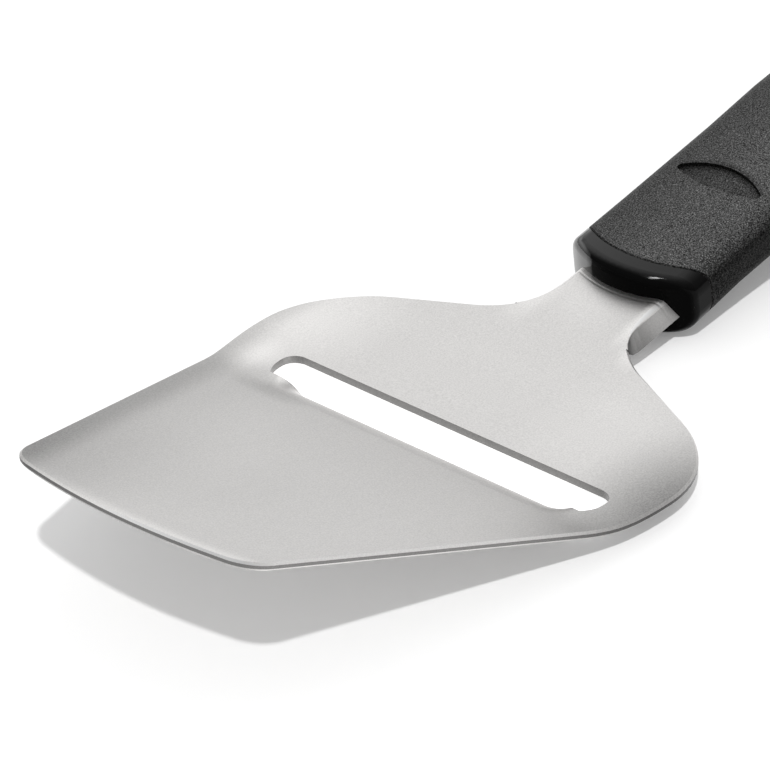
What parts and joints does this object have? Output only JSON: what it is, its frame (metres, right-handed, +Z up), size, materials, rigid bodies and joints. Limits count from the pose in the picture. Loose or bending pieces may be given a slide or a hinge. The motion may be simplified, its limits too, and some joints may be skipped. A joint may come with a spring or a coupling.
{
  "type": "cheese slicer",
  "caption": "Cheese slicer: stamped steel blade with a sloping front plate, a cutting lip bent down at the slot, a flanged neck, and a bowed handle with a soft grip.",
  "frame": {"origin": "under the middle of the object's box, on the table it lies on", "axes": "+X from the tip of the blade to the tail of the handle, +Z up, +Y to the left seen from the tail"},
  "size_m": [0.24, 0.074, 0.0221],
  "materials": {
    "blade_steel": "satin",
    "core_plastic": "glossy",
    "grip_rubber": "matte"
  },
  "bodies": {
    "root": {"blade": "blade_steel", "handle_core": "core_plastic", "soft_grip": "grip_rubber"}
  },
  "joints": []
}
